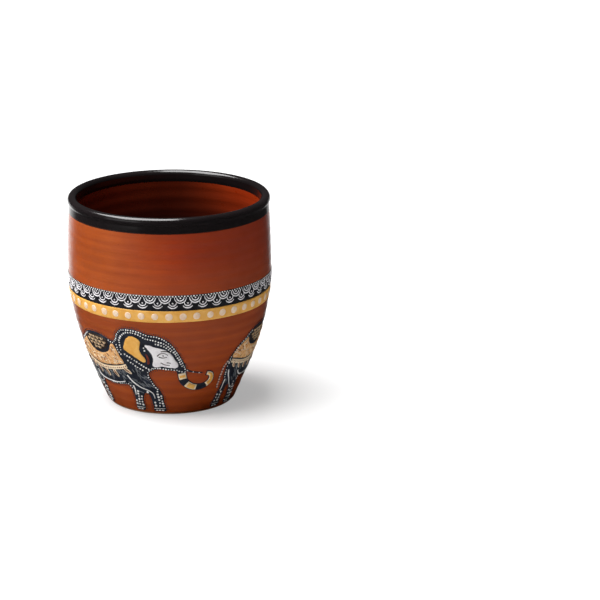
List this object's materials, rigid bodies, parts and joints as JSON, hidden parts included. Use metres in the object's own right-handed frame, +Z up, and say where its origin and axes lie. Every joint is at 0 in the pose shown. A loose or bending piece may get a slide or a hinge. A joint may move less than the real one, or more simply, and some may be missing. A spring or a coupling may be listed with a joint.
{
  "type": "kulhad cup",
  "caption": "Thrown clay kulhad tea cup: terracotta glaze, black lip, a fish-scale band, a dotted ochre band and a frieze of walking elephants.",
  "frame": {"origin": "middle of the foot, on the plane that the cup stands on", "axes": "+Z up along the cup's axis, -Y towards the viewer of the picture, +X to the right"},
  "size_m": [0.0774, 0.0774, 0.0797],
  "materials": {
    "clay": "matt fired clay, bare at the foot",
    "outer_glaze": "satin terracotta-red glaze",
    "liner_glaze": "gloss dark red-brown glaze",
    "rim_glaze": "gloss black glaze",
    "black_enamel": "satin black enamel",
    "grey_white_enamel": "satin off-white enamel line work",
    "white_enamel": "satin white enamel",
    "ochre_enamel": "satin ochre enamel",
    "cream_enamel": "satin cream enamel",
    "blue_black_enamel": "satin blue-black enamel",
    "cloth_enamel": "satin sand-ochre enamel",
    "brown_enamel": "satin brown-black enamel",
    "tan_enamel": "satin tan enamel line work",
    "lilac_enamel": "satin lilac-white enamel"
  },
  "bodies": {
    "root": {"clay_body": "clay", "outer_glaze": "outer_glaze", "liner_glaze": "liner_glaze", "rim_glaze": "rim_glaze", "scale_band": "black_enamel", "scale_rows_upper": "grey_white_enamel", "scale_rows_lower": "grey_white_enamel", "scale_edge_beads": "white_enamel", "ochre_band": "ochre_enamel", "band_dots": "cream_enamel", "elephant_bodies": "blue_black_enamel", "saddle_cloths": "cloth_enamel", "cloth_fringes": "cream_enamel", "saddle_cushions": "brown_enamel", "cushion_scales": "tan_enamel", "ear_patches": "ochre_enamel", "face_patches": "lilac_enamel", "trunk_bands": "ochre_enamel", "contour_lines": "white_enamel", "toenails": "white_enamel", "beads": "white_enamel"}
  },
  "joints": []
}
